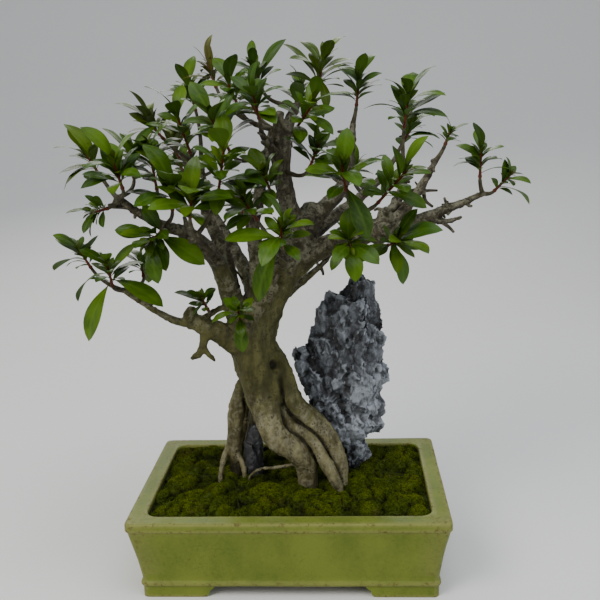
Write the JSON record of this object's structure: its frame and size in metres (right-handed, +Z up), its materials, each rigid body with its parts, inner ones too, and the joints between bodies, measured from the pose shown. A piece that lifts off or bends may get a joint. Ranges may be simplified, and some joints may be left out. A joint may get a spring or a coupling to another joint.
{
  "type": "bonsai tree in pot",
  "caption": "Root-over-rock bonsai tree with leafy shoots, standing rock, moss and soil in a shallow rectangular glazed pot on corner feet.",
  "frame": {"origin": "middle of the pot's footprint, on the surface that the pot stands on", "axes": "+Z up the tree; +X along the pot's long side to the viewer's right; -Y is the front of the tree"},
  "size_m": [0.398, 0.2318, 0.454],
  "materials": {
    "glaze": "gloss",
    "screen": "matte",
    "wire": "satin",
    "soil": "rough",
    "moss": "rough",
    "rock": "rough",
    "bark": "matte",
    "leaf": "satin"
  },
  "bodies": {
    "root": {"drain_screen_01": "screen", "drain_screen_02": "screen", "leaf_shoot_01": "leaf", "leaf_shoot_02": "leaf", "leaf_shoot_03": "leaf", "leaf_shoot_04": "leaf", "leaf_shoot_05": "leaf", "leaf_shoot_06": "leaf", "leaf_shoot_07": "leaf", "leaf_shoot_08": "leaf", "leaf_shoot_09": "leaf", "leaf_shoot_10": "leaf", "leaf_shoot_11": "leaf", "leaf_shoot_12": "leaf", "leaf_shoot_13": "leaf", "leaf_shoot_14": "leaf", "leaf_shoot_15": "leaf", "leaf_shoot_16": "leaf", "leaf_shoot_17": "leaf", "leaf_shoot_18": "leaf", "leaf_shoot_19": "leaf", "leaf_shoot_20": "leaf", "leaf_shoot_21": "leaf", "leaf_shoot_22": "leaf", "leaf_shoot_23": "leaf", "leaf_shoot_24": "leaf", "leaf_shoot_25": "leaf", "leaf_shoot_26": "leaf", "leaf_shoot_27": "leaf", "leaf_shoot_28": "leaf", "leaf_shoot_29": "leaf", "leaf_shoot_30": "leaf", "leaf_shoot_31": "leaf", "leaf_shoot_32": "leaf", "leaf_shoot_33": "leaf", "leaf_shoot_34": "leaf", "leaf_shoot_35": "leaf", "leaf_shoot_36": "leaf", "leaf_shoot_37": "leaf", "leaf_shoot_38": "leaf", "leaf_shoot_39": "leaf", "leaf_shoot_40": "leaf", "leaf_shoot_41": "leaf", "leaf_shoot_42": "leaf", "leaf_shoot_43": "leaf", "leaf_shoot_44": "leaf", "leaf_shoot_45": "leaf", "moss_mat_01": "moss", "moss_mat_02": "moss", "moss_mat_03": "moss", "moss_mat_04": "moss", "moss_mat_05": "moss", "moss_mat_06": "moss", "pot": "glaze", "screen_clip_01": "wire", "screen_clip_02": "wire", "soil": "soil", "standing_rock": "rock", "tree_wood": "bark", "wedge_stone": "rock"}
  },
  "joints": []
}
